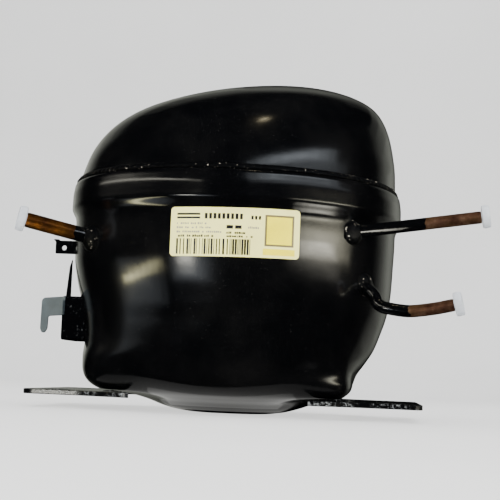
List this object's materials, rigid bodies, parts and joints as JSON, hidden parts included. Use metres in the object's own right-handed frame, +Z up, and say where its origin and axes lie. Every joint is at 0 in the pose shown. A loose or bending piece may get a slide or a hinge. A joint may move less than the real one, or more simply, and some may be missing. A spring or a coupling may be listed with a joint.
{
  "type": "hermetic reciprocating compressor",
  "caption": "Welded steel shell compressor with sprung motor, Scotch-yoke piston pump, capped copper tubes, terminal fence and slotted feet plates.",
  "frame": {"origin": "centre of the shell's flat belly spot, on the crankshaft axis", "axes": "+Z up along the crankshaft, -Y towards the nameplate side, +X towards the discharge and process tubes, -X towards the electrical terminal"},
  "size_m": [0.2311, 0.1908, 0.1729],
  "materials": {
    "black_paint": "gloss black enamel over pressed steel",
    "painted_weld": "black paint over rough weld",
    "copper": "oxidised copper tube, painted black near the shell",
    "milky_plastic": "translucent white polyethylene",
    "label_paper": "printed cream film label",
    "plated_steel": "zinc plated",
    "spring_steel": "oiled spring steel",
    "cast_iron": "machined grey iron",
    "lamination_steel": "stacked electrical steel sheets",
    "enamelled_wire": "varnished copper windings",
    "aluminium": "die-cast",
    "muffler_resin": "moulded resin",
    "lead_insulation": "red lead sleeve"
  },
  "bodies": {
    "shell": {"upper_shell": "black_paint", "lower_shell": "black_paint", "seam_weld": "painted_weld", "mounting_plate_left": "black_paint", "mounting_plate_right": "black_paint", "suction_tube": "copper", "process_tube": "copper", "discharge_tube": "copper", "suction_weld": "painted_weld", "process_weld": "painted_weld", "discharge_weld": "painted_weld", "nameplate": "label_paper", "terminal_fence": "black_paint", "ground_tab": "plated_steel", "terminal_cup": "plated_steel", "terminal_pin_1": "plated_steel", "terminal_pin_2": "plated_steel", "terminal_pin_3": "plated_steel", "motor_leads": "lead_insulation", "discharge_line": "copper", "spring_seat_1": "muffler_resin", "spring_seat_2": "muffler_resin", "spring_seat_3": "muffler_resin", "spring_seat_4": "muffler_resin", "suspension_spring_1": "spring_steel", "suspension_spring_2": "spring_steel", "suspension_spring_3": "spring_steel", "suspension_spring_4": "spring_steel"},
    "sprung_unit": {"cylinder_block": "cast_iron", "stator_core": "lamination_steel", "winding_lower": "enamelled_wire", "winding_upper": "enamelled_wire", "valve_plate": "plated_steel", "cylinder_head": "aluminium", "suction_muffler": "muffler_resin", "discharge_muffler": "plated_steel", "head_bolt_1": "plated_steel", "head_bolt_2": "plated_steel", "head_bolt_3": "plated_steel", "head_bolt_4": "plated_steel", "stator_bolt_1": "plated_steel", "stator_bolt_2": "plated_steel", "stator_bolt_3": "plated_steel", "stator_bolt_4": "plated_steel", "spring_snubber_1": "muffler_resin", "spring_snubber_2": "muffler_resin", "spring_snubber_3": "muffler_resin", "spring_snubber_4": "muffler_resin"},
    "crank": {"crankshaft": "cast_iron", "rotor": "lamination_steel", "counterweight": "cast_iron", "oil_pickup": "plated_steel"},
    "slide_block": {"slide_block": "cast_iron"},
    "oil_nozzle": {"oil_nozzle": "aluminium"},
    "piston_yoke": {"piston_yoke": "cast_iron"},
    "suction_reed": {"suction_reed": "spring_steel"},
    "discharge_reed": {"discharge_reed": "spring_steel"},
    "suction_cap": {"suction_cap": "milky_plastic"},
    "process_cap": {"process_cap": "milky_plastic"},
    "discharge_cap": {"discharge_cap": "milky_plastic"}
  },
  "joints": [
    {"name": "suspension_bounce", "type": "slide", "parent": "shell", "child": "sprung_unit", "axis": [0, 0, 1], "range_m": [-0.003, 0.003], "stiffness_N_per_m": 12000, "springref_m": 0.00395, "deforming": ["suspension_spring_1", "suspension_spring_2", "suspension_spring_3", "suspension_spring_4", "discharge_line", "motor_leads"]},
    {"name": "crank_spin", "type": "hinge", "parent": "sprung_unit", "child": "crank", "pos_m": [0, 0, 0.08], "axis": [0, 0, 1], "continuous": true},
    {"name": "slide_block_turn", "type": "hinge", "parent": "crank", "child": "slide_block", "pos_m": [0.009, 0, 0.12], "axis": [0, 0, 1], "continuous": true},
    {"name": "oil_nozzle_turn", "type": "hinge", "parent": "crank", "child": "oil_nozzle", "pos_m": [0.0045, 0, 0.13], "axis": [0, 0, 1], "continuous": true},
    {"name": "piston_stroke", "type": "hinge", "parent": "oil_nozzle", "child": "piston_yoke", "pos_m": [0, 0, 0.12], "axis": [0, 0, 1], "continuous": true},
    {"name": "suction_reed_flex", "type": "hinge", "parent": "sprung_unit", "child": "suction_reed", "pos_m": [-0.005, 0.05645, 0.1144], "axis": [1, 0, 0], "range_deg": [0, 7], "stiffness_Nm_per_rad": 0.02},
    {"name": "discharge_reed_flex", "type": "hinge", "parent": "sprung_unit", "child": "discharge_reed", "pos_m": [0.0065, 0.06035, 0.1128], "axis": [-1, 0, 0], "range_deg": [0, 5], "stiffness_Nm_per_rad": 0.03},
    {"name": "suction_cap_pull", "type": "slide", "parent": "shell", "child": "suction_cap", "axis": [-0.9206, -0.3367, 0.1977], "range_m": [0, 0.02]},
    {"name": "process_cap_pull", "type": "slide", "parent": "shell", "child": "process_cap", "axis": [0.9877, -0.0691, 0.1399], "range_m": [0, 0.02]},
    {"name": "discharge_cap_pull", "type": "slide", "parent": "shell", "child": "discharge_cap", "axis": [0.9664, -0.121, 0.2269], "range_m": [0, 0.02]}
  ],
  "couplings": [
    {"joint": "slide_block_turn", "follows": "crank_spin", "ratio": -1},
    {"joint": "oil_nozzle_turn", "follows": "crank_spin", "ratio": -2},
    {"joint": "piston_stroke", "follows": "crank_spin", "ratio": 1}
  ]
}
